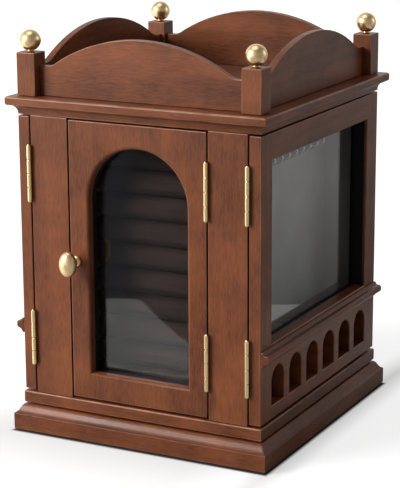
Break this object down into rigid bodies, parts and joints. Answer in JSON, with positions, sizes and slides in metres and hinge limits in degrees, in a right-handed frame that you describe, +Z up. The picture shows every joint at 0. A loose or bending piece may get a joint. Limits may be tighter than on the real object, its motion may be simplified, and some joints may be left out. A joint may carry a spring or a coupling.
{
  "type": "rotating jewelry box",
  "caption": "Wooden jewelry tower on a turntable, with an arched glass front door over ring rolls, glazed side doors with an arcade, rear drawers and a railed top tray.",
  "frame": {"origin": "on the turning axis, at the level of the table under the base felt", "axes": "+Z up along the turning axis, front door towards -Y, +X to the right as seen from the front"},
  "size_m": [0.2464, 0.29, 0.3555],
  "materials": {
    "walnut": "satin red-brown walnut stain",
    "inner_wood": "plain fibreboard, edges stained",
    "base_felt": "dark felt sheet",
    "steel": "pressed steel cage and balls",
    "zinc": "zinc-plated steel",
    "black_lining": "flocked black lining",
    "glass": "clear float glass",
    "brass": "satin brass plate",
    "grey_felt": "grey felt over board",
    "velvet": "dark brown velvet over foam"
  },
  "bodies": {
    "base": {"plinth_board": "inner_wood", "plinth_moulding": "walnut", "base_felt": "base_felt", "bearing_lower_plate": "zinc"},
    "ball_cage": {"bearing_ball_cage": "steel"},
    "case": {"back_stile_left": "walnut", "back_stile_right": "walnut", "bearing_upper_plate": "zinc", "bottom_board": "walnut", "compartment_wall_left": "grey_felt", "compartment_wall_right": "grey_felt", "cornice_moulding": "walnut", "finial_back_left": "brass", "finial_back_right": "brass", "finial_front_left": "brass", "finial_front_right": "brass", "front_door_lower_hinge_fixed_leaf": "brass", "front_door_upper_hinge_fixed_leaf": "brass", "front_stile_left": "walnut", "front_stile_right": "walnut", "gallery_rail_back": "walnut", "gallery_rail_front": "walnut", "gallery_rail_left": "walnut", "gallery_rail_right": "walnut", "hook_rail_left": "brass", "hook_rail_right": "brass", "left_door_lower_hinge_fixed_leaf": "brass", "left_door_upper_hinge_fixed_leaf": "brass", "post_back_left": "walnut", "post_back_right": "walnut", "post_front_left": "walnut", "post_front_right": "walnut", "right_door_lower_hinge_fixed_leaf": "brass", "right_door_upper_hinge_fixed_leaf": "brass", "ring_pad": "velvet", "top_board": "walnut"},
    "front_door": {"front_door_panel": "walnut", "front_door_glass": "glass", "front_door_glass_bead": "black_lining", "front_door_knob": "brass", "front_door_lower_hinge_moving_leaf": "brass", "front_door_upper_hinge_moving_leaf": "brass"},
    "left_door": {"left_door_frame": "walnut", "left_door_glass": "glass", "left_door_ledge": "walnut", "left_door_liner": "black_lining", "left_door_lower_hinge_moving_leaf": "brass", "left_door_upper_hinge_moving_leaf": "brass"},
    "right_door": {"right_door_frame": "walnut", "right_door_glass": "glass", "right_door_ledge": "walnut", "right_door_liner": "black_lining", "right_door_lower_hinge_moving_leaf": "brass", "right_door_upper_hinge_moving_leaf": "brass"},
    "lower_drawer_body": {"lower_drawer": "walnut", "lower_drawer_knob": "brass"},
    "middle_drawer_body": {"middle_drawer": "walnut", "middle_drawer_knob": "brass"},
    "upper_drawer_body": {"upper_drawer": "walnut", "upper_drawer_knob": "brass"}
  },
  "joints": [
    {"name": "carousel_turn", "type": "hinge", "parent": "base", "child": "case", "pos_m": [0, 0, 0.0211], "axis": [0, 0, 1], "continuous": true},
    {"name": "ball_cage_turn", "type": "hinge", "parent": "base", "child": "ball_cage", "pos_m": [0, 0, 0.0211], "axis": [0, 0, 1], "continuous": true},
    {"name": "front_door_swing", "type": "hinge", "parent": "case", "child": "front_door", "pos_m": [0.066, -0.1273, 0.16], "axis": [0, 0, 1], "range_deg": [0, 110]},
    {"name": "left_door_swing", "type": "hinge", "parent": "case", "child": "left_door", "pos_m": [-0.1035, -0.1273, 0.16], "axis": [0, 0, 1], "range_deg": [0, 110]},
    {"name": "right_door_swing", "type": "hinge", "parent": "case", "child": "right_door", "pos_m": [0.1035, -0.1273, 0.16], "axis": [0, 0, -1], "range_deg": [0, 110]},
    {"name": "lower_drawer_slide", "type": "slide", "parent": "case", "child": "lower_drawer_body", "axis": [0, 1, 0], "range_m": [0, 0.1]},
    {"name": "middle_drawer_slide", "type": "slide", "parent": "case", "child": "middle_drawer_body", "axis": [0, 1, 0], "range_m": [0, 0.1]},
    {"name": "upper_drawer_slide", "type": "slide", "parent": "case", "child": "upper_drawer_body", "axis": [0, 1, 0], "range_m": [0, 0.1]}
  ],
  "couplings": [
    {"joint": "ball_cage_turn", "follows": "carousel_turn", "ratio": 0.5}
  ]
}
